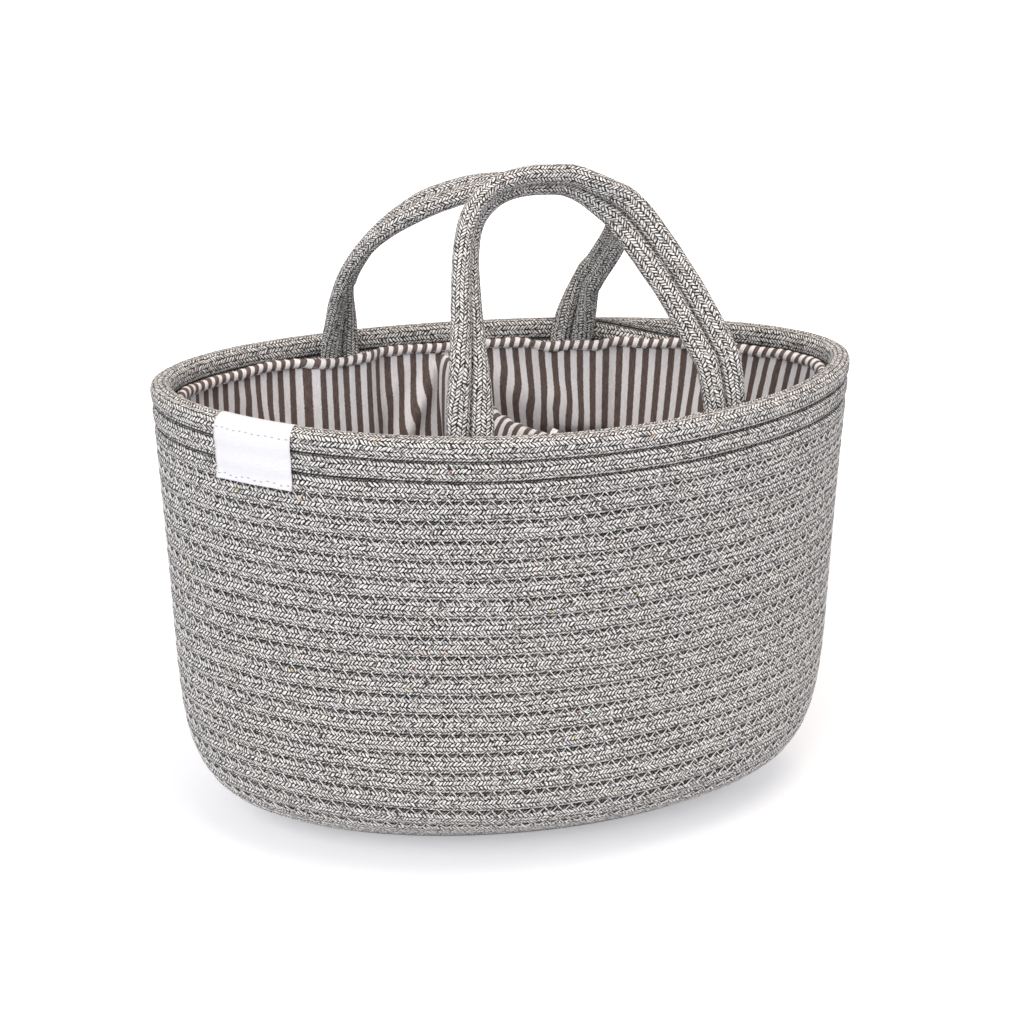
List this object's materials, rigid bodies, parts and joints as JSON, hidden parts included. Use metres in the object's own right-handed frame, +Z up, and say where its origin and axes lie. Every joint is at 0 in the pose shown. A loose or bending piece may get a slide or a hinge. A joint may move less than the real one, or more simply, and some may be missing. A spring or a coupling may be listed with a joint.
{
  "type": "nursery caddy",
  "caption": "Oval coiled-rope nursery caddy with a gathered striped cotton lining, a lift-out padded divider, a folded fabric label and bending rope handles.",
  "frame": {"origin": "on the ground under the middle of the basket's outside, the centre of the underside of its bounding box", "axes": "+X along the basket to its right end, +Y to the back, +Z up; the label is on the front, which faces -Y"},
  "size_m": [0.3302, 0.1778, 0.3306],
  "materials": {
    "rope": "heather braided cotton rope",
    "striped_cotton": "woven cotton with upright stripes",
    "elastic": "woven elastic",
    "label_weave": "smooth woven tape",
    "foam": "soft open foam"
  },
  "bodies": {
    "basket": {"wall_coil": "rope", "base_coil": "rope", "lining_wall": "striped_cotton", "lining_floor": "striped_cotton", "lining_hem": "striped_cotton", "hem_elastic": "elastic", "label": "label_weave", "front_steep_outer_foot": "rope", "front_slanting_outer_foot": "rope", "front_steep_inner_foot": "rope", "front_slanting_inner_foot": "rope", "back_steep_outer_foot": "rope", "back_slanting_outer_foot": "rope", "back_steep_inner_foot": "rope", "back_slanting_inner_foot": "rope"},
    "front_handle": {"front_handle_outer_rope": "rope", "front_handle_inner_rope": "rope"},
    "back_handle": {"back_handle_outer_rope": "rope", "back_handle_inner_rope": "rope"},
    "divider": {"divider_cover": "striped_cotton", "divider_foam": "foam"}
  },
  "joints": [
    {"name": "front_handle_bend", "type": "hinge", "parent": "basket", "child": "front_handle", "pos_m": [0.0304, -0.06397, 0.236], "axis": [0.9911, 0.1331, 0], "range_deg": [-5, 125], "stiffness_Nm_per_rad": 0.15},
    {"name": "back_handle_bend", "type": "hinge", "parent": "basket", "child": "back_handle", "pos_m": [-0.01508, 0.06595, 0.236], "axis": [-0.9982, -0.0605, 0], "range_deg": [-5, 129], "stiffness_Nm_per_rad": 0.15},
    {"name": "divider_lift", "type": "slide", "parent": "basket", "child": "divider", "axis": [0, 0, 1], "range_m": [0, 0.08]}
  ]
}
